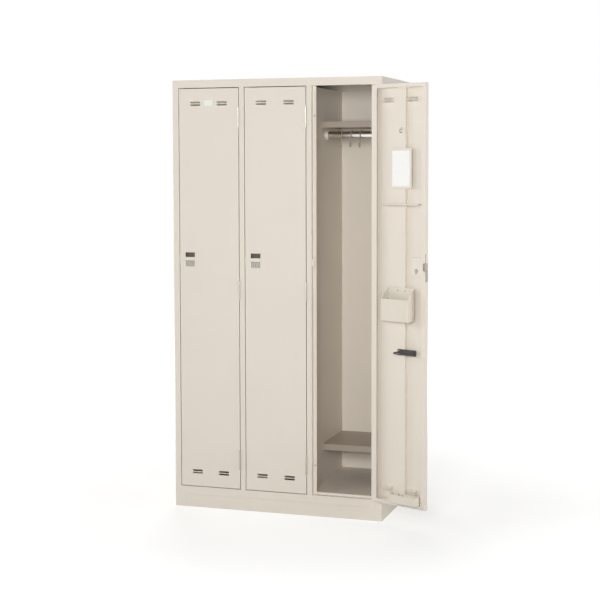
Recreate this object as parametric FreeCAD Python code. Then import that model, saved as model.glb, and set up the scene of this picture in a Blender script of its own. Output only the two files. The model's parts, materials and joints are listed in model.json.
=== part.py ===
import FreeCAD, Part
import math
import os

V = FreeCAD.Vector

# Overall size of the locker, in millimetres
width = 900.0
depth = 515.0
height = 1790.0

# Sheet steel
sheet = 0.7
bend = 1.2
fold_round = 1.5

# Front frame: stiles at the sides, posts between the doors, rim above, rail and plinth below
bay_names = ("left", "middle", "right")
stile = 26.0
post = 22.0
stop_lip = 14.0
top_rim = 32.0
rim_lip = 14.0
rim_round = 1.5
plinth_height = 54.0
bottom_rail = 33.0
floor_step = 9.0
floor_flange = 20.0
side_flange = 15.0
partition_front_flange = 30.0
partition_back_flange = 15.0

# Plinth: side pieces return round the corners, rails lap behind the returns
plinth_return = 49.0
plinth_lap = 25.0
plinth_flange = 25.0
cross_rail_width = 60.0

# Shelves and hanger rail
shelf_depth = 300.0
shelf_flange = 26.0
hat_space = 138.0
shoe_space = 162.0
rail_radius = 16.0
rail_wall = 1.2
rail_clearance = 7.0
rail_from_back = 240.0
socket_flange_radius = 24.0
socket_base = 2.0
socket_depth = 12.0
socket_wall = 2.0
socket_clearance = 0.05

# Hooks that hang on the rail
hook_count = 3
hook_pitch = 40.0
hook_offset = 44.0
hook_wire_radius = 2.0
hook_clearance = 0.4
hook_drop = 34.0
hook_bend = 8.0
hook_tip = 9.0
hook_back_drop = 6.0

# Doors
door_gap = 3.0
door_depth = 20.0
door_lip = 20.0
door_hinge_lip = 26.0
door_end_lip = 15.0
seat_gap = 2.0
open_angle = 157.0

# Vents in the doors, two near each end, each a stack of slots
vent_offset = 59.0
vent_from_end = 62.0
vent_slots = 2
vent_slot_length = 46.0
vent_slot_height = 8.0
vent_slot_pitch = 10.5

# Hinges: knuckles stand in front of the gap on the right of each door
hinge_from_end = 122.0
hinge_length = 80.0
hinge_frame_knuckle = 22.0
hinge_play = 0.4
hinge_leaf = 1.0
hinge_leaf_depth = 18.0
hinge_leaf_start = 1.0
hinge_clearance = 0.4
knuckle_wall = 1.35
pin_radius = 2.2
pin_clearance = 0.05
pin_head = 1.8

# Stiffener and fittings inside the doors, all on one line beside the door's middle
fitting_offset = 14.0
stiffener_width = 36.0
stiffener_depth = 14.0
stiffener_end_gap = 3.0
mirror_width = 84.0
mirror_length = 140.0
mirror_glass = 3.0
mirror_from_top = 330.0
mirror_rim = 8.0
mirror_frame_depth = 6.0
mirror_clearance = 0.3
towel_rail_end_gap = 4.0
towel_rail_radius = 4.0
towel_below_mirror = 140.0
towel_rail_reach = 34.0
towel_rail_bend = 12.0
towel_foot_radius = 9.0
towel_foot_thickness = 2.0
pocket_width = 128.0
pocket_reach = 50.0
pocket_below_handle = 42.0
pocket_front_height = 86.0
pocket_back_height = 130.0
pocket_wall = 1.6

# Umbrella holder: a ring on a strap above, a drip tray below
umbrella_side_gap = 4.0
ring_below_pocket = 125.0
ring_width = 86.0
ring_reach = 54.0
ring_wire_radius = 2.5
ring_bend = 26.0
ring_strap_height = 24.0
ring_strap = 1.6
tray_width = 130.0
tray_reach = 36.0
tray_above_lip = 2.0
tray_height = 34.0
tray_wall = 1.6

# Name card holder on the front of the doors
holder_width = 46.0
holder_height = 28.0
holder_depth = 2.0
holder_rim = 3.0
holder_base = 0.8

# Handle: bezel with a finger recess and a pull lever above, a key cylinder below
handle_inset = 46.0
handle_from_bottom = 911.0
handle_width = 52.0
handle_height = 80.0
bezel = 1.5
bezel_edge = 3.0
bezel_round = 2.0
cup_depth = 15.0
cup_wall = 2.0
lever_axis_rise = 42.0
lever_height = 13.5
lever_thickness = 3.0
lever_gap = 0.5
lever_barrel_radius = 2.3
lever_pin_radius = 1.5
lever_pin_length = 1.3
lever_grip = 3.5
lever_grip_height = 2.5
cylinder_rise = 27.0
cylinder_radius = 8.0
cylinder_rim = 1.5
cylinder_face = 1.1
cylinder_cam_length = 13.0
cylinder_cam = 2.0
cylinder_cam_gap = 0.3
cylinder_cam_width = 7.0
key_slot_width = 1.4
key_slot_length = 9.0
key_slot_depth = 4.0

# Latch: a keeper on the frame enters the free edge of the door, and the bolt slides behind it
keeper = 1.6
keeper_setback = 5.0
keeper_height = 28.0
keeper_reach = 8.0
keeper_base_width = 16.0
keeper_base_height = 60.0
bolt_height = 26.0
bolt_thickness = 6.0
bolt_edge_gap = 1.0
bolt_travel = 9.0
bolt_end_gap = 1.0
bolt_bevel = 4.0
bolt_clearance = 0.5
guide = 2.5
lock_slot_height = 110.0

# Rubber bumpers on the door stops
bumper_radius = 4.0
bumper_clearance = 0.4
bumper_from_end = 120.0

# Holes for wall fixing and for joining lockers side by side
wall_hole_radius = 3.5
wall_hole_spacing = 600.0
wall_hole_from_head = 68.0
join_hole_radius = 3.5
join_hole_above_floor = 304.0
join_hole_spacing = 1000.0

# Places worked out from the sizes above
bays = len(bay_names)
half = width / 2
front = -depth / 2
back = depth / 2
sill = plinth_height + bottom_rail
floor_top = sill + floor_step
head = height - top_rim
rebate = door_depth + seat_gap
stop_back = front + rebate + sheet
bay = (width - 2 * stile - (bays - 1) * post) / bays
door_width = bay - 2 * door_gap
door_bottom = sill + door_gap
door_top = head - door_gap
skin_back = front + sheet
mount_plane = skin_back + stiffener_depth
knuckle_radius = pin_radius + pin_clearance + knuckle_wall
hinge_y = front - knuckle_radius - hinge_clearance
door_middle = (door_bottom + door_top) / 2
hinge_heights = (door_bottom + hinge_from_end, door_middle, door_top - hinge_from_end)
rail_y = back - rail_from_back
inner_back = back - 2 * sheet - bend
hat_shelf_top = head - hat_space
shoe_shelf_top = floor_top + shoe_space
rail_height = hat_shelf_top - shelf_flange - rail_clearance - socket_flange_radius
mirror_centre = door_top - mirror_from_top
towel_rail_height = mirror_centre - towel_below_mirror
towel_rail_length = door_width - 2 * (door_lip + fitting_offset + towel_rail_end_gap)
handle_bottom = door_bottom + handle_from_bottom
pocket_bottom = handle_bottom - pocket_below_handle - pocket_back_height
ring_height = pocket_bottom - ring_below_pocket
tray_bottom = door_bottom + door_end_lip + tray_above_lip
lever_axis_height = handle_bottom + lever_axis_rise
cylinder_height = handle_bottom + cylinder_rise
keeper_y = front + keeper_setback
bolt_y = keeper_y + keeper + bolt_clearance
bumper_thickness = seat_gap - bumper_clearance
wall_hole_height = head - wall_hole_from_head
join_hole_low = floor_top + join_hole_above_floor
nodes = {}


def opening_left(index):
    return -half + stile + index * (bay + post)


def post_centre(index):
    return opening_left(index) + bay + post / 2


def partition_x(index):
    """Middle of the sheet of a partition, which is flush with the left side of its post."""
    return post_centre(index) - post / 2 + sheet / 2


def bay_walls(index):
    left = -half + sheet if index == 0 else partition_x(index - 1) + sheet / 2
    right = half - sheet if index == bays - 1 else partition_x(index) - sheet / 2
    return left, right


def block(x0, x1, y0, y1, z0, z1):
    return Part.makeBox(x1 - x0, y1 - y0, z1 - z0, V(x0, y0, z0))


def round_bar(axis, start, radius, length):
    return Part.makeCylinder(radius, length, start, axis)


def join(shapes):
    return shapes[0].multiFuse(shapes[1:]).removeSplitter()


def folded_sheet(points, place, sweep):
    """Sheet folded along a mid line of flat points, then swept straight."""
    radius = bend + sheet / 2
    turns = []
    for before, at, after in zip(points, points[1:], points[2:]):
        come = (V(*at) - V(*before)).normalize()
        leave = (V(*after) - V(*at)).normalize()
        side = 1 if come.x * leave.y - come.y * leave.x > 0 else -1
        reach = radius * math.tan(come.getAngle(leave) / 2)
        start = V(*at) - come * reach
        centre = start + V(-come.y, come.x) * radius * side
        turns.append((centre, start, V(*at), V(*at) + leave * reach, side))
    edges = []
    caps = []
    for offset in (sheet / 2, -sheet / 2):
        along = (V(*points[1]) - V(*points[0])).normalize()
        here = V(*points[0]) + V(-along.y, along.x) * offset
        first = here
        for centre, start, corner, end, side in turns:
            size = radius - offset * side
            marks = [centre + (mark - centre).normalize() * size for mark in (start, corner, end)]
            edges.append(Part.LineSegment(place(here), place(marks[0])).toShape())
            edges.append(Part.Arc(*[place(mark) for mark in marks]).toShape())
            here = marks[2]
        along = (V(*points[-1]) - V(*points[-2])).normalize()
        last = V(*points[-1]) + V(-along.y, along.x) * offset
        edges.append(Part.LineSegment(place(here), place(last)).toShape())
        caps.append((first, last))
    for one, other in zip(caps[0], caps[1]):
        edges.append(Part.LineSegment(place(one), place(other)).toShape())
    wire = Part.Wire(Part.__sortEdges__(edges))
    return Part.Face(wire).extrude(sweep)


def upright(points, z0, z1):
    return folded_sheet(points, lambda p: V(p.x, p.y, z0), V(0, 0, z1 - z0))


def level(points, x0, x1):
    return folded_sheet(points, lambda p: V(x0, p.x, p.y), V(x1 - x0, 0, 0))


def bent_rod(points, radius, bend_radius):
    """Round rod along straight runs joined by arcs."""
    edges = []
    here = points[0]
    for before, at, after in zip(points, points[1:], points[2:]):
        come = (at - before).normalize()
        leave = (after - at).normalize()
        reach = bend_radius * math.tan(come.getAngle(leave) / 2)
        start = at - come * reach
        end = at + leave * reach
        centre = at + (leave - come).normalize() * math.hypot(bend_radius, reach)
        middle = centre + (at - centre).normalize() * bend_radius
        edges.append(Part.LineSegment(here, start).toShape())
        edges.append(Part.Arc(start, middle, end).toShape())
        here = end
    edges.append(Part.LineSegment(here, points[-1]).toShape())
    circle = Part.Circle(points[0], points[1] - points[0], radius).toShape()
    return Part.Wire(edges).makePipeShell([Part.Wire(circle)], True, True)


def hollow(x0, x1, y0, y1, z0, z1):
    return block(x0 + sheet, x1 - sheet, y0 + sheet, y1 - sheet, z0 + sheet, z1 - sheet)


# Frame of the cabinet
def top_panel():
    cap = block(-half, half, front, back, head, height)
    crown = [edge for edge in cap.Edges if edge.BoundBox.ZMin > height - sheet]
    corners = [edge for edge in cap.Edges if edge.BoundBox.ZLength > top_rim / 2]
    cap = cap.makeFillet(rim_round, crown + corners)
    reach = half - rim_lip
    window = block(-reach, reach, stop_back, back - rim_lip, head - sheet, head + 2 * sheet)
    return cap.cut(hollow(-half, half, front, back, head, height)).cut(window)


def keeper_slot(index):
    left = opening_left(index)
    reach = keeper_height / 2 + pin_clearance
    y0 = keeper_y - pin_clearance
    y1 = keeper_y + keeper + pin_clearance
    z = lever_axis_height
    return block(left - 2 * sheet, left + sheet, y0, y1, z - reach, z + reach)


def side_panel(side):
    lip_y = front + rebate + sheet / 2
    skin = half - sheet / 2
    fold = half - stile + sheet / 2
    points = [
        (half - side_flange, back - 1.5 * sheet),
        (skin, back - 1.5 * sheet),
        (skin, front + sheet / 2),
        (fold, front + sheet / 2),
        (fold, lip_y),
        (half - stile - stop_lip, lip_y),
    ]
    panel = upright([(side * x, y) for x, y in points], plinth_height, head)
    free = half - stile
    notch = block(free - stop_lip, free, front + rebate - bend, stop_back, plinth_height, sill)
    panel = panel.cut(notch if side > 0 else notch.mirror(V(0, 0, 0), V(1, 0, 0)))
    for z in (join_hole_low, join_hole_low + join_hole_spacing):
        start = V(side * (half - 2 * sheet), 0, z)
        panel = panel.cut(round_bar(V(side, 0, 0), start, join_hole_radius, 3 * sheet))
    return panel.cut(keeper_slot(0)) if side < 0 else panel


def back_panel():
    panel = block(-half + bend, half - bend, back - sheet, back, plinth_height, head)
    for x in (-wall_hole_spacing / 2, wall_hole_spacing / 2):
        start = V(x, back - 2 * sheet, wall_hole_height)
        panel = panel.cut(round_bar(V(0, 1, 0), start, wall_hole_radius, 3 * sheet))
    return panel


def floor_panel():
    riser = stop_back + bend + sheet / 2
    top = floor_top - sheet / 2
    rail = level(
        [
            (front + sheet / 2, plinth_height),
            (front + sheet / 2, sill - sheet / 2),
            (riser, sill - sheet / 2),
            (riser, top),
            (riser + stop_lip, top),
        ],
        opening_left(0),
        -opening_left(0),
    )
    pan_back = inner_back - sheet / 2
    points = [(riser + stop_lip, top), (pan_back, top), (pan_back, top - floor_flange)]
    tray = level(points, -half + sheet, half - sheet)
    return join([rail, tray])


def front_post(index):
    centre = post_centre(index)
    lip_y = front + rebate + sheet / 2
    out = post / 2 + stop_lip
    wall = post / 2 - sheet / 2
    points = [(-out, lip_y), (-wall, lip_y), (-wall, front + sheet / 2)]
    points += [(-x, y) for x, y in reversed(points)]
    channel = upright([(centre + x, y) for x, y in points], sill, head)
    return channel.cut(keeper_slot(index + 1))


def partition(index):
    x = partition_x(index)
    y0 = stop_back + sheet / 2
    y1 = back - 1.5 * sheet
    points = [
        (x + partition_front_flange, y0),
        (x, y0),
        (x, y1),
        (x + partition_back_flange, y1),
    ]
    return upright(points, floor_top, head)


def plinth_side(side):
    points = [
        (side * (half - plinth_return), front + sheet / 2),
        (side * (half - sheet / 2), front + sheet / 2),
        (side * (half - sheet / 2), back - sheet / 2),
        (side * (half - plinth_return), back - sheet / 2),
    ]
    return upright(points, 0, plinth_height)


def plinth_rail(side):
    face = side * (depth / 2 - 1.5 * sheet)
    inner = side * (depth / 2 - plinth_flange)
    top = plinth_height - sheet / 2
    reach = half - plinth_return + plinth_lap
    return level([(face, 0), (face, top), (inner, top)], -reach, reach)


def plinth_cross_rail():
    side = cross_rail_width / 2 - sheet / 2
    top = plinth_height - sheet
    reach = depth / 2 - 2 * sheet - bend
    points = [(-side, top), (-side, sheet / 2), (side, sheet / 2), (side, top)]
    return folded_sheet(points, lambda p: V(p.x, -reach, p.y), V(0, 2 * reach, 0))


# Fittings of the bays
def shelf(index, top):
    left, right = bay_walls(index)
    y1 = inner_back
    y0 = y1 - shelf_depth
    plate = block(left, right, y0, y1, top - shelf_flange, top)
    edge = [e for e in plate.Edges if e.BoundBox.YMax < y0 + sheet and e.BoundBox.ZMin > top - sheet]
    plate = plate.makeFillet(fold_round, edge)
    low = top - shelf_flange
    return plate.cut(block(left + sheet, right - sheet, y0 + sheet, y1 - sheet, low, top - sheet))


def hanger_rail(index):
    left, right = bay_walls(index)
    start = V(left + socket_base, rail_y, rail_height)
    length = right - left - 2 * socket_base
    tube = round_bar(V(1, 0, 0), start, rail_radius, length)
    return tube.cut(round_bar(V(1, 0, 0), start, rail_radius - rail_wall, length))


def rail_sockets(index):
    sockets = []
    for wall, way in zip(bay_walls(index), (1, -1)):
        start = V(wall, rail_y, rail_height)
        axis = V(way, 0, 0)
        inner = rail_radius + socket_clearance
        cup = round_bar(axis, start, inner + socket_wall, socket_depth)
        flange = round_bar(axis, start, socket_flange_radius, socket_base)
        bore = round_bar(axis, start + axis * socket_base, inner, socket_depth)
        sockets.append(join([cup, flange]).cut(bore))
    return sockets


def coat_hook(x):
    reach = rail_radius + hook_clearance + hook_wire_radius
    centre = V(x, rail_y, rail_height)
    bottom = rail_height - rail_radius - hook_drop
    tail = centre + V(0, reach, 0)
    rise = centre + V(0, -reach, 0)
    low = V(x, rail_y - reach, bottom + hook_bend)
    foot = low + V(0, -2 * hook_bend, 0)
    edges = [
        Part.LineSegment(tail - V(0, 0, hook_back_drop), tail).toShape(),
        Part.Arc(tail, centre + V(0, 0, reach), rise).toShape(),
        Part.LineSegment(rise, low).toShape(),
        Part.Arc(low, low + V(0, -hook_bend, -hook_bend), foot).toShape(),
        Part.LineSegment(foot, foot + V(0, 0, hook_tip)).toShape(),
    ]
    circle = Part.Circle(tail - V(0, 0, hook_back_drop), V(0, 0, 1), hook_wire_radius).toShape()
    return Part.Wire(edges).makePipeShell([Part.Wire(circle)], True, True)


def coat_hooks(index):
    middle = sum(bay_walls(index)) / 2
    first = middle - hook_offset - hook_pitch * (hook_count - 1) / 2
    return [coat_hook(first + hook_pitch * count) for count in range(hook_count)]


def latch_keeper(index):
    wall = opening_left(index) - sheet
    tip = opening_left(index) + door_gap + keeper_reach
    y0 = keeper_y - keeper
    z = lever_axis_height
    z0 = z - keeper_base_height / 2
    base = block(wall - keeper, wall, y0, y0 + keeper_base_width, z0, z0 + keeper_base_height)
    tongue = block(wall, tip, keeper_y, keeper_y + keeper, z - keeper_height / 2, z + keeper_height / 2)
    return join([base, tongue])


def door_bumpers(index):
    x = opening_left(index) + stop_lip / 2
    y = front + rebate - bumper_thickness
    heights = (sill + bumper_from_end, head - bumper_from_end)
    return [round_bar(V(0, 1, 0), V(x, y, z), bumper_radius, bumper_thickness) for z in heights]


# Hinges
def hinge_x(index):
    return opening_left(index) + bay - door_gap / 2


def hinge_leaf_plate(index, side, z, knuckles):
    """Leaf beside the gap with the knuckles it carries; side is 1 on the frame and -1 on the door."""
    x = hinge_x(index)
    outer = x + side * door_gap / 2
    inner = outer - side * hinge_leaf
    x0 = min(outer, inner)
    x1 = max(outer, inner)
    y0 = front + hinge_leaf_start
    pieces = [block(x0, x1, y0, front + hinge_leaf_depth, z - hinge_length / 2, z + hinge_length / 2)]
    for z0, z1 in knuckles:
        pieces.append(block(x0, x1, hinge_y, y0, z0, z1))
        pieces.append(round_bar(V(0, 0, 1), V(x, hinge_y, z0), knuckle_radius, z1 - z0))
    start = V(x, hinge_y, z - hinge_length)
    bore = round_bar(V(0, 0, 1), start, pin_radius + pin_clearance, 2 * hinge_length)
    return join(pieces).cut(bore)


def frame_leaf(index, z):
    ends = (z - hinge_length / 2, z + hinge_length / 2)
    knuckles = [(ends[0], ends[0] + hinge_frame_knuckle), (ends[1] - hinge_frame_knuckle, ends[1])]
    return hinge_leaf_plate(index, 1, z, knuckles)


def door_leaf(index, z):
    reach = hinge_length / 2 - hinge_frame_knuckle - hinge_play
    return hinge_leaf_plate(index, -1, z, [(z - reach, z + reach)])


def hinge_pin(index, z):
    foot = V(hinge_x(index), hinge_y, z - hinge_length / 2)
    shaft = round_bar(V(0, 0, 1), foot, pin_radius, hinge_length)
    cap = round_bar(V(0, 0, 1), foot + V(0, 0, hinge_length), knuckle_radius, pin_head)
    return join([shaft, cap])


# Doors
def door_left(index):
    return opening_left(index) + door_gap


def handle_x(index):
    return door_left(index) + handle_inset


def fitting_x(index):
    return door_left(index) + door_width / 2 - fitting_offset


def umbrella_x(index):
    return door_left(index) + door_lip + umbrella_side_gap + tray_width / 2


def vent_slot(x, z):
    flat = vent_slot_length - vent_slot_height
    radius = vent_slot_height / 2
    slot = [block(x - flat / 2, x + flat / 2, front - sheet, front + 2 * sheet, z - radius, z + radius)]
    for end in (x - flat / 2, x + flat / 2):
        slot.append(round_bar(V(0, 1, 0), V(end, front - sheet, z), radius, 3 * sheet))
    return join(slot)


def vents(index):
    middle = door_left(index) + door_width / 2
    slots = []
    for x in (middle - vent_offset, middle + vent_offset):
        for z in (door_bottom + vent_from_end, door_top - vent_from_end):
            for count in range(vent_slots):
                slots.append(vent_slot(x, z + (count - (vent_slots - 1) / 2) * vent_slot_pitch))
    return slots


def cup_outline(index, grow):
    x = handle_x(index)
    reach = handle_width / 2 - bezel_edge + grow
    z0 = handle_bottom + bezel_edge - grow
    z1 = handle_bottom + handle_height - bezel_edge + grow
    return x - reach, x + reach, z0, z1


def lock_slot(index):
    """Slot in the free edge of the door, open to the back where the keeper enters."""
    x0 = door_left(index) - sheet
    x1 = door_left(index) + 2 * sheet
    y0 = keeper_y - door_gap
    y1 = front + door_depth
    z0 = lever_axis_height - keeper_height / 2 - door_gap
    z1 = lever_axis_height + keeper_height / 2 + door_gap
    tip = door_left(index) + keeper_reach + door_gap
    low = handle_bottom + (handle_height - lock_slot_height) / 2
    high = low + lock_slot_height
    return [
        block(x0, x1, y0, y1 + sheet, z0, z1),
        block(x0, tip, y1 - 2 * sheet, y1 + sheet, z0, z1),
        block(x0, x1, y0, y1 - 2 * sheet, low, z1),
        block(x0, x1, front + cup_depth - cup_wall, y1 - 2 * sheet, z0, high),
    ]


def door_panel(index):
    x0 = door_left(index)
    x1 = x0 + door_width
    y1 = front + door_depth
    body = block(x0, x1, front, y1, door_bottom, door_top)
    rim = [edge for edge in body.Edges if edge.BoundBox.YMax < front + sheet]
    body = body.makeFillet(fold_round, rim)
    inner = hollow(x0, x1, front, y1, door_bottom, door_top)
    window = block(
        x0 + door_lip,
        x1 - door_hinge_lip,
        y1 - 2 * sheet,
        y1 + sheet,
        door_bottom + door_end_lip,
        door_top - door_end_lip,
    )
    left, right, bottom, top = cup_outline(index, bolt_clearance)
    handle_hole = block(left, right, front - sheet, front + 2 * sheet, bottom, top)
    return body.cut(inner).cut([window, handle_hole] + lock_slot(index) + vents(index))


def door_stiffener(index):
    x = fitting_x(index)
    z0 = door_bottom + sheet + stiffener_end_gap
    z1 = door_top - sheet - stiffener_end_gap
    outer = block(x - stiffener_width / 2, x + stiffener_width / 2, skin_back, mount_plane, z0, z1)
    wall = stiffener_width / 2 - sheet
    inner = block(x - wall, x + wall, skin_back - sheet, mount_plane - sheet, z0 - sheet, z1 + sheet)
    return outer.cut(inner)


def mirror_frame(index):
    x = fitting_x(index)
    across = mirror_width / 2 + mirror_clearance
    along = mirror_length / 2 + mirror_clearance
    y1 = mount_plane + mirror_frame_depth
    outer_x = across + mirror_rim
    outer_z = along + mirror_rim
    z = mirror_centre
    frame = block(x - outer_x, x + outer_x, mount_plane, y1, z - outer_z, z + outer_z)
    face = [edge for edge in frame.Edges if edge.BoundBox.YMin > y1 - sheet]
    frame = frame.makeFillet(fold_round, face)
    seat = block(x - across, x + across, y1 - mirror_glass, y1 + sheet, z - along, z + along)
    return frame.cut(seat)


def mirror(index):
    x = fitting_x(index)
    x0 = x - mirror_width / 2
    y1 = mount_plane + mirror_frame_depth
    z0 = mirror_centre - mirror_length / 2
    return block(x0, x0 + mirror_width, y1 - mirror_glass, y1, z0, z0 + mirror_length)


def towel_rail(index):
    x = fitting_x(index)
    reach = towel_rail_length / 2 - towel_foot_radius
    y0 = skin_back
    y1 = skin_back + towel_rail_reach
    z = towel_rail_height
    rod = bent_rod(
        [V(x - reach, y0, z), V(x - reach, y1, z), V(x + reach, y1, z), V(x + reach, y0, z)],
        towel_rail_radius,
        towel_rail_bend,
    )
    ends = [V(x - reach, y0, z), V(x + reach, y0, z)]
    feet = [round_bar(V(0, 1, 0), end, towel_foot_radius, towel_foot_thickness) for end in ends]
    return join([rod] + feet)


def side_profile(points, x0, x1):
    wire = Part.makePolygon([V(x0, y, z) for y, z in points + points[:1]])
    return Part.Face(wire).extrude(V(x1 - x0, 0, 0))


def pocket(index):
    x = fitting_x(index)
    y0 = mount_plane
    y1 = mount_plane + pocket_reach
    z0 = pocket_bottom
    outer = side_profile(
        [(y0, z0), (y1, z0), (y1, z0 + pocket_front_height), (y0, z0 + pocket_back_height)],
        x - pocket_width / 2,
        x + pocket_width / 2,
    )
    front_edges = [edge for edge in outer.Edges if edge.BoundBox.YMin > y1 - pocket_wall]
    outer = outer.makeFillet(pocket_wall, front_edges)
    inside = pocket_width / 2 - pocket_wall
    z1 = z0 + pocket_back_height + pocket_wall
    wall = pocket_wall
    return outer.cut(block(x - inside, x + inside, y0 + wall, y1 - wall, z0 + wall, z1))


def umbrella_ring(index):
    x = umbrella_x(index)
    y0 = mount_plane
    reach = ring_width / 2 - ring_wire_radius
    y1 = y0 + ring_reach - ring_wire_radius
    z = ring_height
    strap_end = max(x + ring_width / 2, fitting_x(index) + stiffener_width / 2)
    rise = ring_strap_height / 2
    strap = block(x - ring_width / 2, strap_end, y0, y0 + ring_strap, z - rise, z + rise)
    loop = bent_rod(
        [V(x - reach, y0, z), V(x - reach, y1, z), V(x + reach, y1, z), V(x + reach, y0, z)],
        ring_wire_radius,
        ring_bend,
    )
    return join([strap, loop])


def drip_tray(index):
    x = umbrella_x(index)
    y0 = mount_plane
    y1 = mount_plane + tray_reach
    z0 = tray_bottom
    z1 = tray_bottom + tray_height
    outer = block(x - tray_width / 2, x + tray_width / 2, y0, y1, z0, z1)
    wall = tray_wall
    face = [edge for edge in outer.Edges if edge.BoundBox.YMin > y1 - wall]
    outer = outer.makeFillet(wall, [edge for edge in face if edge.BoundBox.ZMin < z1 - wall])
    inside = tray_width / 2 - wall
    return outer.cut(block(x - inside, x + inside, y0 + wall, y1 - wall, z0 + wall, z1 + wall))


def name_holder(index):
    x = door_left(index) + door_width / 2
    z = door_top - vent_from_end
    reach = holder_width / 2
    rise = holder_height / 2
    plate = block(x - reach, x + reach, front - holder_depth, front, z - rise, z + rise)
    inside = reach - holder_rim
    y0 = front - 2 * holder_depth
    card = block(x - inside, x + inside, y0, front - holder_base, z - rise + holder_rim, z + 2 * rise)
    return plate.cut(card)


# Handle, key cylinder and latch
def lever_cavity(index):
    left, right, bottom, top = cup_outline(index, -cup_wall)
    low = lever_axis_height - lever_thickness - lever_gap / 2
    return block(left, right, front - 2 * bezel, front + cup_depth - cup_wall, low, top)


def handle_cup(index):
    x = handle_x(index)
    plate = block(
        x - handle_width / 2,
        x + handle_width / 2,
        front - bezel,
        front,
        handle_bottom,
        handle_bottom + handle_height,
    )
    corners = [edge for edge in plate.Edges if edge.BoundBox.YLength > bezel / 2]
    plate = plate.makeFillet(bezel_round, corners)
    left, right, bottom, top = cup_outline(index, 0)
    y1 = front + cup_depth
    body = block(left, right, front, y1, bottom, top)
    guide_start = door_left(index) + keeper_reach + bolt_end_gap
    guides = []
    for side in (-1, 1):
        near = lever_axis_height + side * (bolt_height / 2 + bolt_clearance)
        far = near + side * guide
        guides.append(block(guide_start, left, bolt_y, y1, min(near, far), max(near, far)))
    cup = join([plate, body] + guides)
    start = V(x, front - 2 * bezel, cylinder_height)
    bore = round_bar(V(0, 1, 0), start, cylinder_radius + pin_clearance, 2 * cup_depth)
    pin_reach = right - x - cup_wall + lever_pin_length + lever_gap
    start = V(x - pin_reach, front - bezel + lever_thickness, lever_axis_height)
    pins = round_bar(V(1, 0, 0), start, lever_pin_radius + pin_clearance, 2 * pin_reach)
    return cup.cut([lever_cavity(index), bore, pins])


def handle_lever(index):
    x = handle_x(index)
    reach = handle_width / 2 - bezel_edge - cup_wall - lever_gap
    y0 = front - bezel
    y1 = y0 + lever_thickness
    z0 = lever_axis_height
    z1 = z0 + lever_height
    plate = block(x - reach, x + reach, y0, y1, z0, z1)
    face = [edge for edge in plate.Edges if edge.BoundBox.YMax < y0 + sheet]
    plate = plate.makeFillet(bezel / 2, [edge for edge in face if edge.BoundBox.ZMin > z1 - sheet])
    grip = block(x - reach, x + reach, y1, y1 + lever_grip, z1 - lever_grip_height, z1)
    barrel = round_bar(V(1, 0, 0), V(x - reach, y1, z0), lever_barrel_radius, 2 * reach)
    pin_reach = reach + lever_gap + lever_pin_length
    pins = round_bar(V(1, 0, 0), V(x - pin_reach, y1, z0), lever_pin_radius, 2 * pin_reach)
    return join([plate, grip, barrel, pins])


def lock_cylinder(index):
    x = handle_x(index)
    z = cylinder_height
    face = front - bezel - pin_clearance
    cam_y = front + cup_depth + cylinder_cam_gap
    core = round_bar(V(0, 1, 0), V(x, face, z), cylinder_radius, cam_y - face)
    outer = cylinder_radius + cylinder_rim
    rim = round_bar(V(0, 1, 0), V(x, face - cylinder_face, z), outer, cylinder_face)
    cam = block(
        x - cylinder_cam_width / 2,
        x + cylinder_cam_width / 2,
        cam_y,
        cam_y + cylinder_cam,
        z - cylinder_cam_length,
        z + cylinder_cam_width / 2,
    )
    slot = block(
        x - key_slot_width / 2,
        x + key_slot_width / 2,
        face - 2 * cylinder_face,
        face - cylinder_face + key_slot_depth,
        z - key_slot_length / 2,
        z + key_slot_length / 2,
    )
    return join([core, rim, cam]).cut(slot)


def latch_bolt(index):
    left, right, bottom, top = cup_outline(index, 0)
    x0 = door_left(index) + bolt_edge_gap
    x1 = left - bolt_travel - bolt_end_gap
    y1 = bolt_y + bolt_thickness
    z0 = lever_axis_height - bolt_height / 2
    points = [V(x0, bolt_y, z0), V(x1, bolt_y, z0), V(x1, y1, z0), V(x0 + bolt_bevel, y1, z0)]
    wire = Part.makePolygon(points + points[:1])
    return Part.Face(wire).extrude(V(0, 0, bolt_height))


# The cabinet, whose repeated pieces are groups of solids
every_bay = range(bays)
every_post = range(bays - 1)
nodes["top_panel"] = [top_panel()]
nodes["side_panels"] = [side_panel(side) for side in (-1, 1)]
nodes["back_panel"] = [back_panel()]
nodes["floor_panel"] = [floor_panel()]
nodes["front_posts"] = [front_post(index) for index in every_post]
nodes["partitions"] = [partition(index) for index in every_post]
nodes["plinth_sides"] = [plinth_side(side) for side in (-1, 1)]
nodes["plinth_rails"] = [plinth_rail(side) for side in (-1, 1)] + [plinth_cross_rail()]
nodes["shelves"] = [shelf(index, top) for index in every_bay for top in (hat_shelf_top, shoe_shelf_top)]
nodes["hanger_rails"] = [hanger_rail(index) for index in every_bay]
nodes["rail_sockets"] = [socket for index in every_bay for socket in rail_sockets(index)]
nodes["frame_hinge_leaves"] = [frame_leaf(index, z) for index in every_bay for z in hinge_heights]
nodes["hinge_pins"] = [hinge_pin(index, z) for index in every_bay for z in hinge_heights]
nodes["latch_keepers"] = [latch_keeper(index) for index in every_bay]
nodes["door_bumpers"] = [bumper for index in every_bay for bumper in door_bumpers(index)]

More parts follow.
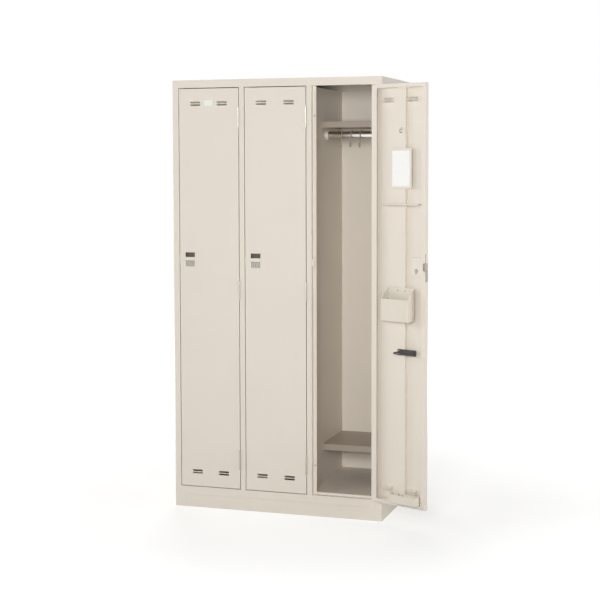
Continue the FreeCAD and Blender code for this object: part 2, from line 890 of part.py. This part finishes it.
# The doors, each with its fittings; the right one stands open at rest
for index, name in enumerate(bay_names):
    nodes[name + "_coat_hooks"] = coat_hooks(index)
    door = {
        "door_panel": [door_panel(index)],
        "door_stiffener": [door_stiffener(index)],
        "door_hinge_leaves": [door_leaf(index, z) for z in hinge_heights],
        "mirror_frame": [mirror_frame(index)],
        "mirror": [mirror(index)],
        "towel_rail": [towel_rail(index)],
        "pocket": [pocket(index)],
        "umbrella_ring": [umbrella_ring(index)],
        "drip_tray": [drip_tray(index)],
        "name_holder": [name_holder(index)],
        "handle_cup": [handle_cup(index)],
        "handle_lever": [handle_lever(index)],
        "lock_cylinder": [lock_cylinder(index)],
        "latch_bolt": [latch_bolt(index)],
    }
    for piece, solids in door.items():
        if name == "right":
            for solid in solids:
                solid.rotate(V(hinge_x(index), hinge_y, 0), V(0, 0, 1), open_angle)
        nodes[name + "_" + piece] = solids

os.makedirs("parts", exist_ok=True)
for name, solids in nodes.items():
    shape = solids[0] if len(solids) == 1 else Part.makeCompound(solids)
    if not shape.isValid():
        print("not valid:", name)
    shape.exportStep("parts/" + name + ".step")
print(len(nodes), "nodes")
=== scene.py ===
import json
import math

import bmesh
import bpy
from mathutils import Matrix, Vector


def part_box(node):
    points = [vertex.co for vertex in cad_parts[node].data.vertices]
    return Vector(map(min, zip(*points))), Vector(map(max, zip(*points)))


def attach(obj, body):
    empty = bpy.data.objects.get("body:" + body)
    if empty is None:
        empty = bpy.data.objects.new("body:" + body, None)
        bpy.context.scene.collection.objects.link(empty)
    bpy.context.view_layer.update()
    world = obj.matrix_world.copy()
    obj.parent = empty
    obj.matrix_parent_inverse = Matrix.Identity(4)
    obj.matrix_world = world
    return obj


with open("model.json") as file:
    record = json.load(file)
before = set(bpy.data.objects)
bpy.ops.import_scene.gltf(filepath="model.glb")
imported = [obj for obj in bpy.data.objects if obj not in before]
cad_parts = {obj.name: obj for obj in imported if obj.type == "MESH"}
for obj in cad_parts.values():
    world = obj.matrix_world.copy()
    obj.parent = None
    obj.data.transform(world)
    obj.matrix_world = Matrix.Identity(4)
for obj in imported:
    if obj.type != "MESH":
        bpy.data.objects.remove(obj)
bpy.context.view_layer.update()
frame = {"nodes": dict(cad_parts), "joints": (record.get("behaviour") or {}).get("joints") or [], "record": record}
nodes = frame["nodes"]
joints = {joint["name"]: joint for joint in frame["joints"]}
MM = 0.001
SIDES = ("left", "middle", "right")


# Colours are sRGB hex values, and pattern sizes are real millimetres
def linear(code):
    parts = [int(code[i:i + 2], 16) / 255 for i in (1, 3, 5)]
    return [c / 12.92 if c <= 0.04045 else ((c + 0.055) / 1.055) ** 2.4 for c in parts] + [1.0]


def per(millimetres):
    return 1000.0 / millimetres


def add(tree, kind, values=None, links=None, **settings):
    """Adds a node with its settings, the values of its inputs and the outputs that feed it."""
    node = tree.nodes.new(kind)
    for name, value in settings.items():
        setattr(node, name, value)
    for socket, value in (values or {}).items():
        node.inputs[socket].default_value = value
    for socket, source in (links or {}).items():
        tree.links.new(source, node.inputs[socket])
    return node


def blank(name):
    material = bpy.data.materials.new(name)
    material.use_nodes = True
    material.node_tree.nodes.clear()
    return material, material.node_tree


# Acrylic enamel sprayed on folded steel and baked: an even satin skin, a little cloudy in tone where the coat is
# thicker, with an orange-peel ripple; the ripple is about 3 mm, drawn at 7 mm so that it shows. The sheet below
# sways slightly over 340 mm
def baked_enamel(name, coat, thick_coat, rough=(0.36, 0.46)):
    material, tree = blank(name)
    place = add(tree, "ShaderNodeTexCoord").outputs["Object"]
    cloud = add(tree, "ShaderNodeTexNoise", {"Scale": per(260), "Detail": 4.0, "Roughness": 0.55}, {"Vector": place})
    tone = add(
        tree, "ShaderNodeMix", {6: linear(coat), 7: linear(thick_coat)}, {0: cloud.outputs["Fac"]}, data_type="RGBA"
    )
    peel = add(tree, "ShaderNodeTexNoise", {"Scale": per(7), "Detail": 2.0, "Roughness": 0.5}, {"Vector": place})
    sway = add(tree, "ShaderNodeTexNoise", {"Scale": per(340), "Detail": 1.0}, {"Vector": place})
    shine = add(
        tree,
        "ShaderNodeMapRange",
        {"From Min": 0.3, "From Max": 0.7, "To Min": rough[0], "To Max": rough[1]},
        {"Value": peel.outputs["Fac"]},
    )
    wave = add(tree, "ShaderNodeBump", {"Strength": 0.12, "Distance": 0.004}, {"Height": sway.outputs["Fac"]})
    skin = add(
        tree,
        "ShaderNodeBump",
        {"Strength": 0.05, "Distance": 0.0006},
        {"Height": peel.outputs["Fac"], "Normal": wave.outputs["Normal"]},
    )
    surface = add(
        tree,
        "ShaderNodeBsdfPrincipled",
        {"IOR": 1.5},
        {"Base Color": tone.outputs[2], "Roughness": shine.outputs["Result"], "Normal": skin.outputs["Normal"]},
    )
    add(tree, "ShaderNodeOutputMaterial", links={"Surface": surface.outputs["BSDF"]})
    return material


# Moulded thermoplastic: even colour with a slight flow mark in the tone, and a fine spark-eroded grain of about
# 0.4 mm that is drawn at 3 mm so that it shows
def moulded_plastic(name, body, shade, rough=0.42, grain=0.12):
    material, tree = blank(name)
    place = add(tree, "ShaderNodeTexCoord").outputs["Object"]
    flow = add(tree, "ShaderNodeTexNoise", {"Scale": per(60), "Detail": 3.0, "Distortion": 0.8}, {"Vector": place})
    tone = add(
        tree, "ShaderNodeMix", {6: linear(body), 7: linear(shade)}, {0: flow.outputs["Fac"]}, data_type="RGBA"
    )
    spark = add(tree, "ShaderNodeTexVoronoi", {"Scale": per(3)}, {"Vector": place})
    shine = add(
        tree,
        "ShaderNodeMapRange",
        {"To Min": rough - 0.05, "To Max": rough + 0.07},
        {"Value": spark.outputs["Distance"]},
    )
    skin = add(
        tree, "ShaderNodeBump", {"Strength": grain, "Distance": 0.0004}, {"Height": spark.outputs["Distance"]}
    )
    surface = add(
        tree,
        "ShaderNodeBsdfPrincipled",
        {"IOR": 1.53},
        {"Base Color": tone.outputs[2], "Roughness": shine.outputs["Result"], "Normal": skin.outputs["Normal"]},
    )
    add(tree, "ShaderNodeOutputMaterial", links={"Surface": surface.outputs["BSDF"]})
    return material


# Plated steel: bright metal with fine polishing lines round or along it, which stretch the highlights
def plated_steel(name, bright, dull, rough, line_mm, along):
    material, tree = blank(name)
    place = add(tree, "ShaderNodeTexCoord").outputs["Object"]
    stretch = [per(line_mm) if axis != along else per(60 * line_mm) for axis in range(3)]
    lines = add(tree, "ShaderNodeMapping", {"Scale": stretch}, {"Vector": place})
    polish = add(tree, "ShaderNodeTexNoise", {"Scale": 1.0, "Detail": 2.0}, {"Vector": lines.outputs["Vector"]})
    bloom = add(tree, "ShaderNodeTexNoise", {"Scale": per(45), "Detail": 3.0}, {"Vector": place})
    tone = add(
        tree, "ShaderNodeMix", {6: linear(bright), 7: linear(dull)}, {0: bloom.outputs["Fac"]}, data_type="RGBA"
    )
    shine = add(
        tree,
        "ShaderNodeMapRange",
        {"From Min": 0.3, "From Max": 0.7, "To Min": rough - 0.05, "To Max": rough + 0.08},
        {"Value": polish.outputs["Fac"]},
    )
    skin = add(tree, "ShaderNodeBump", {"Strength": 0.06, "Distance": 0.0002}, {"Height": polish.outputs["Fac"]})
    surface = add(
        tree,
        "ShaderNodeBsdfPrincipled",
        {"Metallic": 1.0},
        {"Base Color": tone.outputs[2], "Roughness": shine.outputs["Result"], "Normal": skin.outputs["Normal"]},
    )
    add(tree, "ShaderNodeOutputMaterial", links={"Surface": surface.outputs["BSDF"]})
    return material


# Silvered float glass: a clear bright reflection with faint wipe marks
def silvered_glass(name):
    material, tree = blank(name)
    place = add(tree, "ShaderNodeTexCoord").outputs["Object"]
    wipe = add(tree, "ShaderNodeTexNoise", {"Scale": per(38), "Detail": 5.0, "Distortion": 1.5}, {"Vector": place})
    haze = add(
        tree,
        "ShaderNodeMapRange",
        {"From Min": 0.45, "From Max": 0.8, "To Min": 0.03, "To Max": 0.12},
        {"Value": wipe.outputs["Fac"]},
    )
    silver = add(
        tree,
        "ShaderNodeMix",
        {6: linear("#FBFAF8"), 7: linear("#F3F2EF")},
        {0: wipe.outputs["Fac"]},
        data_type="RGBA",
    )
    surface = add(
        tree,
        "ShaderNodeBsdfPrincipled",
        {"Metallic": 1.0},
        {"Base Color": silver.outputs[2], "Roughness": haze.outputs["Result"]},
    )
    add(tree, "ShaderNodeOutputMaterial", links={"Surface": surface.outputs["BSDF"]})
    return material


# Uncoated card stock: white paper with fibres of about 1 mm, drawn at 2 mm
def card_stock(name):
    material, tree = blank(name)
    place = add(tree, "ShaderNodeTexCoord").outputs["Object"]
    fibre = add(tree, "ShaderNodeTexNoise", {"Scale": per(2), "Detail": 4.0}, {"Vector": place})
    tone = add(
        tree,
        "ShaderNodeMix",
        {6: linear("#FBFAF6"), 7: linear("#F1EFE9")},
        {0: fibre.outputs["Fac"]},
        data_type="RGBA",
    )
    skin = add(tree, "ShaderNodeBump", {"Strength": 0.1, "Distance": 0.0002}, {"Height": fibre.outputs["Fac"]})
    surface = add(
        tree,
        "ShaderNodeBsdfPrincipled",
        {"Roughness": 0.85, "IOR": 1.45},
        {"Base Color": tone.outputs[2], "Normal": skin.outputs["Normal"]},
    )
    add(tree, "ShaderNodeOutputMaterial", links={"Surface": surface.outputs["BSDF"]})
    return material


enamel = baked_enamel("beige_baked_enamel", "#EAE2D6", "#E5DCCF")
fitting_enamel = baked_enamel("beige_enamel_on_castings", "#EBE4D8", "#E5DDD0", (0.3, 0.4))
# The shelves are a darker warm grey than the walls and doors
shelf_enamel = baked_enamel("warm_grey_baked_enamel", "#B0A597", "#A79C8E")
beige_abs = moulded_plastic("beige_moulded_abs", "#EAE3D7", "#E4DCCF")
styrene = moulded_plastic("ivory_moulded_polystyrene", "#E6DFD1", "#DFD7C8", rough=0.3, grain=0.05)
grey_abs = moulded_plastic("warm_grey_moulded_abs", "#B4ACA0", "#A9A195", rough=0.5)
# Dark grey for the sheet that paints the shade inside the finger recesses
recess_shade_finish = moulded_plastic("dark_grey_painted_recess_shade", "#59544E", "#645F58", rough=0.6)
black_vinyl = moulded_plastic("black_vinyl_dip_coating", "#2B2A2A", "#363433", rough=0.45)
rubber = moulded_plastic("pale_moulded_rubber", "#C9C2B5", "#BFB7AA", rough=0.75, grain=0.3)
chrome = plated_steel("bright_plated_steel_tube", "#E4E1DB", "#D2CEC6", 0.2, 0.6, 0)
zinc = plated_steel("zinc_plated_steel", "#B9B6AE", "#A3A097", 0.42, 0.8, 2)
lock_face = plated_steel("plated_lock_face", "#A8A49B", "#9A968D", 0.42, 0.5, 1)
mirror_silver = silvered_glass("silvered_float_glass")
card = card_stock("blank_white_card")

SLOT_FINISH = {
    "painted_steel": enamel,
    "shelf_enamel": shelf_enamel,
    "plated_rail": chrome,
    "beige_plastic": beige_abs,
    "zinc_steel": zinc,
    "rubber": rubber,
    "mirror_glass": mirror_silver,
    "painted_fitting": fitting_enamel,
    "moulded_tray": styrene,
    "black_coating": black_vinyl,
    "grey_plastic": grey_abs,
    "plated_lock": lock_face,
}
for sub in frame["record"]["subparts"]:
    mesh = nodes[sub["node"]].data
    mesh.materials.clear()
    mesh.materials.append(SLOT_FINISH[sub["material_slot"]])


# Sizes and places read from the solids
def low(node):
    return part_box(node)[0]


def high(node):
    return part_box(node)[1]


door_pitch = low("middle_door_panel").x - low("left_door_panel").x
door_front = low("left_door_panel").y
door_bottom = low("left_door_panel").z
door_top = high("left_door_panel").z
door_width = high("left_door_panel").x - low("left_door_panel").x
stiffener_face = high("left_door_stiffener").y


def closed_offset(side):
    return Vector((door_pitch * SIDES.index(side), 0.0, 0.0))


def swing(side):
    """Turns a place on the shut door to where the door stands at rest."""
    hinge = joints[side + "_door_hinge"]
    pivot = Matrix.Translation(Vector(hinge["pos_m"]))
    return pivot @ Matrix.Rotation(-math.radians(hinge["range_deg"][0]), 4, "Z") @ pivot.inverted()


SMOOTH_BELOW = math.radians(40.0)


def piece(name, bm, body, finish):
    """Makes the object from its mesh, and lets it move with its body."""
    mesh = bpy.data.meshes.new(name)
    bmesh.ops.recalc_face_normals(bm, faces=bm.faces)
    bm.to_mesh(mesh)
    bm.free()
    mesh.shade_smooth()
    mesh.set_sharp_from_angle(angle=SMOOTH_BELOW)
    mesh.materials.append(finish)
    obj = bpy.data.objects.new(name, mesh)
    bpy.context.scene.collection.objects.link(obj)
    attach(obj, body)


def door_piece(name, bm, side, finish):
    """A piece drawn on the left door while shut, put on the door of that side."""
    bm.transform(swing(side) @ Matrix.Translation(closed_offset(side)))
    piece(side + "_" + name, bm, side + "_door", finish)


def join_rings(bm, rings):
    """Faces from each ring to the next, and over both ends."""
    for lower, upper in zip(rings, rings[1:]):
        for step in range(len(lower)):
            after = (step + 1) % len(lower)
            bm.faces.new((lower[step], lower[after], upper[after], upper[step]))
    bm.faces.new(rings[0])
    bm.faces.new(rings[-1])


def lathe(bm, profile, centre, axis, steps=16):
    """Turns a profile of (radius, distance along the axis) about the axis."""
    turn = Vector((0, 0, 1)).rotation_difference(Vector(axis)).to_matrix()
    rings = []
    for radius, along in profile:
        ring = []
        for step in range(steps):
            angle = 2 * math.pi * step / steps
            spot = Vector((radius * math.cos(angle), radius * math.sin(angle), along))
            ring.append(bm.verts.new(Vector(centre) + turn @ spot))
        rings.append(ring)
    join_rings(bm, rings)


def screw(bm, centre, axis, radius=3.0 * MM, rise=1.5 * MM):
    """Pan head with a sunk centre, standing on a surface."""
    profile = [
        (radius, 0.0),
        (radius, 0.45 * rise),
        (0.86 * radius, 0.85 * rise),
        (0.55 * radius, rise),
        (0.34 * radius, rise),
        (0.26 * radius, 0.35 * rise),
    ]
    lathe(bm, profile, centre, axis)


def wire(bm, points, radius, steps=10):
    """Round wire through the points, with closed ends."""
    rings = []
    side = None
    for index, point in enumerate(points):
        ahead = points[min(index + 1, len(points) - 1)] - points[max(index - 1, 0)]
        ahead.normalize()
        if side is None:
            side = ahead.orthogonal().normalized()
        side = (side - ahead * side.dot(ahead)).normalized()
        other = ahead.cross(side)
        ring = []
        for step in range(steps):
            angle = 2 * math.pi * step / steps
            ring.append(bm.verts.new(point + (side * math.cos(angle) + other * math.sin(angle)) * radius))
        rings.append(ring)
    join_rings(bm, rings)


# Lips pressed inward from the upper edge of each vent slot, which cut the straight view in
VENT_OFFSET = 59.0 * MM
VENT_FROM_END = 62.0 * MM
SLOT_LENGTH = 46.0 * MM
SLOT_HEIGHT = 8.0 * MM
SLOT_PITCH = 10.5 * MM
LIP_DEPTH = 16.0 * MM
LIP_DROP = 7.6 * MM
LIP_FULLNESS = 16
LIP_END = 0.2
SKIN = 0.7 * MM


def slot_lip(bm, x, z):
    """Lip that slopes down inward from the slot's upper edge and closes at both ends."""
    steps = 40
    root = door_front + SKIN
    top = z + SLOT_HEIGHT / 2
    rings = []
    for step in range(steps + 1):
        along = -1 + 2 * step / steps
        tip = root + LIP_DEPTH * max((1 - abs(along) ** LIP_FULLNESS) ** 0.5, LIP_END)
        profile = ((root, top), (tip, top - LIP_DROP), (tip, top - LIP_DROP - SKIN), (root, top - SKIN))
        rings.append([bm.verts.new((x + along * SLOT_LENGTH / 2, y, height)) for y, height in profile])
    join_rings(bm, rings)


for side in SIDES:
    bm = bmesh.new()
    middle = low("left_door_panel").x + door_width / 2
    for x in (middle - VENT_OFFSET, middle + VENT_OFFSET):
        for z in (door_bottom + VENT_FROM_END, door_top - VENT_FROM_END):
            for count in (-0.5, 0.5):
                slot_lip(bm, x, z + count * SLOT_PITCH)
    door_piece("louvre_lips", bm, side, enamel)


def slab(bm, x0, x1, y0, y1, z0, z1):
    """Block between six planes."""
    corners = [bm.verts.new((x, y, z)) for x in (x0, x1) for y in (y0, y1) for z in (z0, z1)]
    for a, b, c, d in ((0, 1, 3, 2), (4, 6, 7, 5), (0, 4, 5, 1), (2, 3, 7, 6), (0, 2, 6, 4), (1, 5, 7, 3)):
        bm.faces.new([corners[i] for i in (a, b, c, d)])


# A blank card in the left door's holder
CARD_INSET = 3.4 * MM
CARD_TOP_GAP = 0.5 * MM
CARD_THICKNESS = 0.4 * MM
CARD_BACK_GAP = 0.9 * MM
CARD_EDGE = 0.1 * MM
bm = bmesh.new()
c0, c1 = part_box("left_name_holder")
card_back = c1.y - CARD_BACK_GAP
slab(
    bm,
    c0.x + CARD_INSET,
    c1.x - CARD_INSET,
    card_back - CARD_THICKNESS,
    card_back,
    c0.z + CARD_INSET,
    c1.z - CARD_TOP_GAP,
)
bmesh.ops.bevel(bm, geom=bm.edges[:], offset=CARD_EDGE, segments=1, affect="EDGES")
piece("left_name_card", bm, "left_door", card)

# Small wire hook high on each stiffener
HOOK_HEIGHT = 1571.0 * MM
HOOK_RADIUS = 8.0 * MM
HOOK_STEM = 6.0 * MM
HOOK_WIRE = 1.7 * MM
HOOK_SINK = 0.3 * MM
HOOK_TURN = 1.35 * math.pi
HOOK_STEPS = 12
HOOK_BASE = [(6.0 * MM, 0.0), (6.0 * MM, 1.0 * MM), (4.6 * MM, 1.8 * MM), (1.8 * MM, 2.2 * MM)]
for side in SIDES:
    bm = bmesh.new()
    s0, s1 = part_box("left_door_stiffener")
    x = (s0.x + s1.x) / 2
    root = Vector((x, stiffener_face, HOOK_HEIGHT + HOOK_RADIUS))
    bend = [root - Vector((0, HOOK_SINK, 0)), root + Vector((0, HOOK_STEM, 0))]
    for step in range(HOOK_STEPS + 1):
        angle = math.pi / 2 - HOOK_TURN * step / HOOK_STEPS
        y = stiffener_face + HOOK_RADIUS * (1 + math.cos(angle))
        bend.append(Vector((x, y, HOOK_HEIGHT + HOOK_RADIUS * math.sin(angle))))
    wire(bm, bend, HOOK_WIRE)
    lathe(bm, HOOK_BASE, root, (0, 1, 0))
    door_piece("tie_hook", bm, side, zinc)


def rounded_outline(width, height, radius, steps):
    """Points round a rectangle with round corners, evenly stepped by angle."""
    points = []
    for step in range(steps):
        angle = 2 * math.pi * (step + 0.5) / steps
        across = math.copysign(width / 2 - radius, math.cos(angle))
        along = math.copysign(height / 2 - radius, math.sin(angle))
        points.append((across + radius * math.cos(angle), along + radius * math.sin(angle)))
    return points


def plate_with_hole(bm, centre, width, height, radius, hole, thickness):
    """Flat plate in front of centre with round corners and a round hole in its middle."""
    steps = 48
    rims = []
    for outline in (
        rounded_outline(width, height, radius, steps),
        rounded_outline(2 * hole, 2 * hole, hole, steps),
    ):
        for y in (centre.y, centre.y - thickness):
            rims.append([bm.verts.new((centre.x + a, y, centre.z + b)) for a, b in outline])
    for one, other in ((rims[0], rims[1]), (rims[1], rims[3]), (rims[3], rims[2]), (rims[2], rims[0])):
        for step in range(steps):
            after = (step + 1) % steps
            bm.faces.new((one[step], one[after], other[after], other[step]))


# A dark sheet inside each finger recess that paints the recess's shade, a grey plate round the key cylinder, and the
# latch case, which closes the slot in the door's free edge above and below the bolt
LEVER_GAP = 0.5 * MM
LINING = 0.35 * MM
LINING_GAP = 0.05 * MM
LINING_FOOT = 2.0 * MM
CUP_DEPTH = 13.0 * MM
RECESS_HALF_WIDTH = 20.9 * MM
RECESS_CEILING = 5.1 * MM
PLATE_WIDTH = 40.0 * MM
PLATE_HEIGHT = 22.0 * MM
PLATE_CORNER = 1.5 * MM
PLATE_HOLE = 9.8 * MM
PLATE_THICKNESS = 0.5 * MM
CASE_WALL = 1.2 * MM
CASE_EDGE = 0.2 * MM
CASE_HALF_HEIGHT = 57.0 * MM
CASE_FRONT_BELOW = 1.6 * MM
CASE_FRONT_ABOVE = 11.5 * MM
CASE_BACK = 18.5 * MM
BOLT_RISE = 2.3 * MM
BOLT_ROOM = 16.0 * MM
for side in SIDES:
    lever0, lever1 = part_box("left_handle_lever")
    cup0, cup1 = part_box("left_handle_cup")
    handle_x = (lever0.x + lever1.x) / 2
    x0 = handle_x - RECESS_HALF_WIDTH
    x1 = handle_x + RECESS_HALF_WIDTH
    ceiling = cup1.z - RECESS_CEILING
    lining_top = ceiling - LINING
    back = door_front + CUP_DEPTH - LINING_GAP
    lining_back = back - LINING
    lining_low = lever1.z + LEVER_GAP
    bm = bmesh.new()
    # Dark sheets over the recess's back, ceiling and sides: painted shade, not a real part
    slab(bm, x0, x1, lining_back, back, lever0.z + LINING_FOOT, ceiling)
    slab(bm, x0, x1, door_front, lining_back, lining_top, ceiling)
    slab(bm, x0, x0 + LINING, door_front, lining_back, lining_low, lining_top)
    slab(bm, x1 - LINING, x1, door_front, lining_back, lining_low, lining_top)
    door_piece("finger_recess_painted_shade", bm, side, recess_shade_finish)

    bm = bmesh.new()
    lock = Vector((handle_x, cup0.y, joints["left_key_turn"]["pos_m"][2]))
    plate_with_hole(bm, lock, PLATE_WIDTH, PLATE_HEIGHT, PLATE_CORNER, PLATE_HOLE, PLATE_THICKNESS)
    door_piece("lock_plate", bm, side, grey_abs)

    bm = bmesh.new()
    x0 = low("left_door_panel").x + SKIN
    x1 = x0 + CASE_WALL
    y1 = door_front + CASE_BACK
    middle = (cup0.z + cup1.z) / 2
    bolt_z = lever0.z + BOLT_RISE
    slab(bm, x0, x1, door_front + CASE_FRONT_BELOW, y1, middle - CASE_HALF_HEIGHT, bolt_z - BOLT_ROOM)
    slab(bm, x0, x1, door_front + CASE_FRONT_ABOVE, y1, bolt_z + BOLT_ROOM, middle + CASE_HALF_HEIGHT)
    bmesh.ops.bevel(bm, geom=bm.edges[:], offset=CASE_EDGE, segments=2, affect="EDGES")
    door_piece("latch_case", bm, side, grey_abs)

# Screws that hold the fittings to the doors, on the back walls of the fittings
FITTING_WALL = 1.6 * MM
POCKET_SCREW_DROP = 12.0 * MM
RING_SCREW_RADIUS = 2.6 * MM
RING_SCREW_INSET = 6.0 * MM
RING_SCREW_FROM_EDGE = 7.0 * MM
TRAY_SCREW_DROP = 7.0 * MM
TRAY_SCREW_FROM_EDGE = 8.0 * MM
for side in SIDES:
    bm = bmesh.new()
    p0, p1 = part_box("left_pocket")
    for share in (0.36, 0.64):
        screw(bm, (p0.x + share * (p1.x - p0.x), p0.y + FITTING_WALL, p1.z - POCKET_SCREW_DROP), (0, 1, 0))
    r0, r1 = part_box("left_umbrella_ring")
    s0, s1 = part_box("left_door_stiffener")
    for z in (r0.z + RING_SCREW_INSET, r1.z - RING_SCREW_INSET):
        screw(bm, (s1.x - RING_SCREW_FROM_EDGE, r0.y + FITTING_WALL, z), (0, 1, 0), RING_SCREW_RADIUS)
    t0, t1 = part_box("left_drip_tray")
    for x in (s0.x + TRAY_SCREW_FROM_EDGE, s1.x - TRAY_SCREW_FROM_EDGE):
        screw(bm, (x, t0.y + FITTING_WALL, t1.z - TRAY_SCREW_DROP), (0, 1, 0))
    door_piece("fitting_screws", bm, side, zinc)

# Screws in the flanges of the rail sockets, which stand on both walls of each bay
DOOR_GAP = 3.0 * MM
POST_WIDTH = 22.0 * MM
FLANGE = 2.0 * MM
FLANGE_SCREW_OFFSET = 21.0 * MM
FLANGE_SCREW_RADIUS = 2.2 * MM
FLANGE_SCREW_HEAD = 1.1 * MM
bm = bmesh.new()
rail0, rail1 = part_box("hanger_rails")
rail_y = (rail0.y + rail1.y) / 2
rail_z = (rail0.z + rail1.z) / 2
cabinet_half = high("side_panels").x
walls = [(-cabinet_half + SKIN, 1), (cabinet_half - SKIN, -1)]
for index in (1, 2):
    partition = low("left_door_panel").x - DOOR_GAP + index * door_pitch - POST_WIDTH
    walls += [(partition, -1), (partition + SKIN, 1)]
for wall, way in walls:
    for z in (rail_z - FLANGE_SCREW_OFFSET, rail_z + FLANGE_SCREW_OFFSET):
        screw(bm, (wall + way * FLANGE, rail_y, z), (way, 0, 0), FLANGE_SCREW_RADIUS, FLANGE_SCREW_HEAD)
piece("rail_socket_screws", bm, "cabinet", zinc)


# Floor, light and camera
def seen_directly(tree):
    """1 for rays from the eye, from a reflection or through glass, and 0 for rays that only gather light."""
    path = add(tree, "ShaderNodeLightPath")
    seen = path.outputs["Is Camera Ray"]
    for ray in ("Is Glossy Ray", "Is Transmission Ray"):
        seen = add(tree, "ShaderNodeMath", links={0: seen, 1: path.outputs[ray]}, operation="MAXIMUM").outputs[0]
    return seen


# Pale matt floor that the eye and reflections see as near white, with the shadow kept near the object
FLOOR_REACH = 9.0
SHADOW_NEAR = 0.9
SHADOW_FAR = 3.2
FLOOR_LIFT = 0.555
floor_paint, tree = blank("pale_matt_floor")
place = add(tree, "ShaderNodeTexCoord").outputs["Object"]
away = add(tree, "ShaderNodeVectorMath", links={0: place}, operation="LENGTH")
fade = add(
    tree,
    "ShaderNodeMapRange",
    {"From Min": SHADOW_NEAR, "From Max": SHADOW_FAR, "To Min": FLOOR_LIFT, "To Max": 1.0},
    {"Value": away.outputs["Value"]},
)
lift = add(tree, "ShaderNodeMath", links={0: seen_directly(tree), 1: fade.outputs["Result"]}, operation="MULTIPLY")
matt = add(tree, "ShaderNodeBsdfDiffuse", {"Color": linear("#C9C9C7")})
glow = add(tree, "ShaderNodeEmission", links={"Strength": lift.outputs[0]})
both = add(tree, "ShaderNodeAddShader", links={0: matt.outputs[0], 1: glow.outputs[0]})
add(tree, "ShaderNodeOutputMaterial", links={"Surface": both.outputs[0]})
bm = bmesh.new()
corners = [(-1, -1), (1, -1), (1, 1), (-1, 1)]
bm.faces.new([bm.verts.new((x * FLOOR_REACH, y * FLOOR_REACH, 0.0)) for x, y in corners])
mesh = bpy.data.meshes.new("floor")
bm.to_mesh(mesh)
bm.free()
mesh.materials.append(floor_paint)
obj = bpy.data.objects.new("floor", mesh)
bpy.context.scene.collection.objects.link(obj)

# Soft light from all round, and a white backdrop where the eye or a reflection looks past the object
ROOM_LIGHT = 0.08
world = bpy.data.worlds.new("white_studio")
bpy.context.scene.world = world
world.use_nodes = True
tree = world.node_tree
tree.nodes.clear()
soft = add(tree, "ShaderNodeBackground", {"Color": (1.0, 1.0, 1.0, 1.0), "Strength": ROOM_LIGHT})
white = add(tree, "ShaderNodeBackground", {"Color": (1.0, 1.0, 1.0, 1.0), "Strength": 1.0})
mixed = add(tree, "ShaderNodeMixShader", links={0: seen_directly(tree), 1: soft.outputs[0], 2: white.outputs[0]})
add(tree, "ShaderNodeOutputWorld", links={"Surface": mixed.outputs[0]})


def softbox(name, place, aim, width, height, power):
    lamp = bpy.data.lights.new(name, "AREA")
    lamp.shape = "RECTANGLE"
    lamp.size = width
    lamp.size_y = height
    lamp.energy = power
    obj = bpy.data.objects.new(name, lamp)
    obj.location = place
    obj.rotation_euler = (Vector(aim) - Vector(place)).to_track_quat("-Z", "Y").to_euler()
    obj.visible_camera = False
    bpy.context.scene.collection.objects.link(obj)


softbox("key_softbox", (-3.8, -3.9, 2.8), (0.2, -0.2, 1.2), 1.4, 1.4, 44.0)
softbox("front_softbox", (1.15, -5.2, 1.7), (0.2, -0.2, 1.5), 1.0, 1.0, 130.0)
softbox("right_softbox", (3.0, -4.6, 1.8), (0.2, -0.2, 1.4), 1.2, 1.2, 18.0)
softbox("right_side_softbox", (5.0, -1.1, 1.6), (0.2, -0.2, 1.2), 1.8, 1.8, 78.0)
softbox("left_side_softbox", (-5.0, -0.6, 1.9), (-0.2, 0.0, 1.1), 1.8, 1.8, 72.0)
softbox("back_softbox", (-1.9, 4.4, 2.4), (0.0, 0.2, 1.0), 2.0, 1.6, 108.0)
softbox("overhead_softbox", (0.0, 0.8, 4.2), (0.0, 0.2, 1.8), 1.6, 1.6, 24.0)

# The camera stands in front and to the right, at about eye height
EYE = (1.8381, -5.5817, 1.4485)
FOCAL_PIXELS = 1379.8
IMAGE_PIXELS = 600.0
YAW = math.radians(-18.017)
PITCH = math.radians(-3.707)
ROLL = math.radians(-0.144)
ahead = Vector((math.sin(YAW) * math.cos(PITCH), math.cos(YAW) * math.cos(PITCH), math.sin(PITCH)))
flat = Vector((math.cos(YAW), -math.sin(YAW), 0.0))
above = flat.cross(ahead)
right = flat * math.cos(ROLL) + above * math.sin(ROLL)
up = above * math.cos(ROLL) - flat * math.sin(ROLL)
lens = bpy.data.cameras.new("camera")
lens.sensor_width = 36.0
lens.lens = lens.sensor_width * FOCAL_PIXELS / IMAGE_PIXELS
lens.shift_y = -0.08
lens.clip_end = 100.0
camera = bpy.data.objects.new("camera", lens)
camera.matrix_world = Matrix.Translation(EYE) @ Matrix((right, up, -ahead)).transposed().to_4x4()
bpy.context.scene.collection.objects.link(camera)
bpy.context.scene.camera = camera
bpy.context.scene.view_settings.view_transform = "Standard"
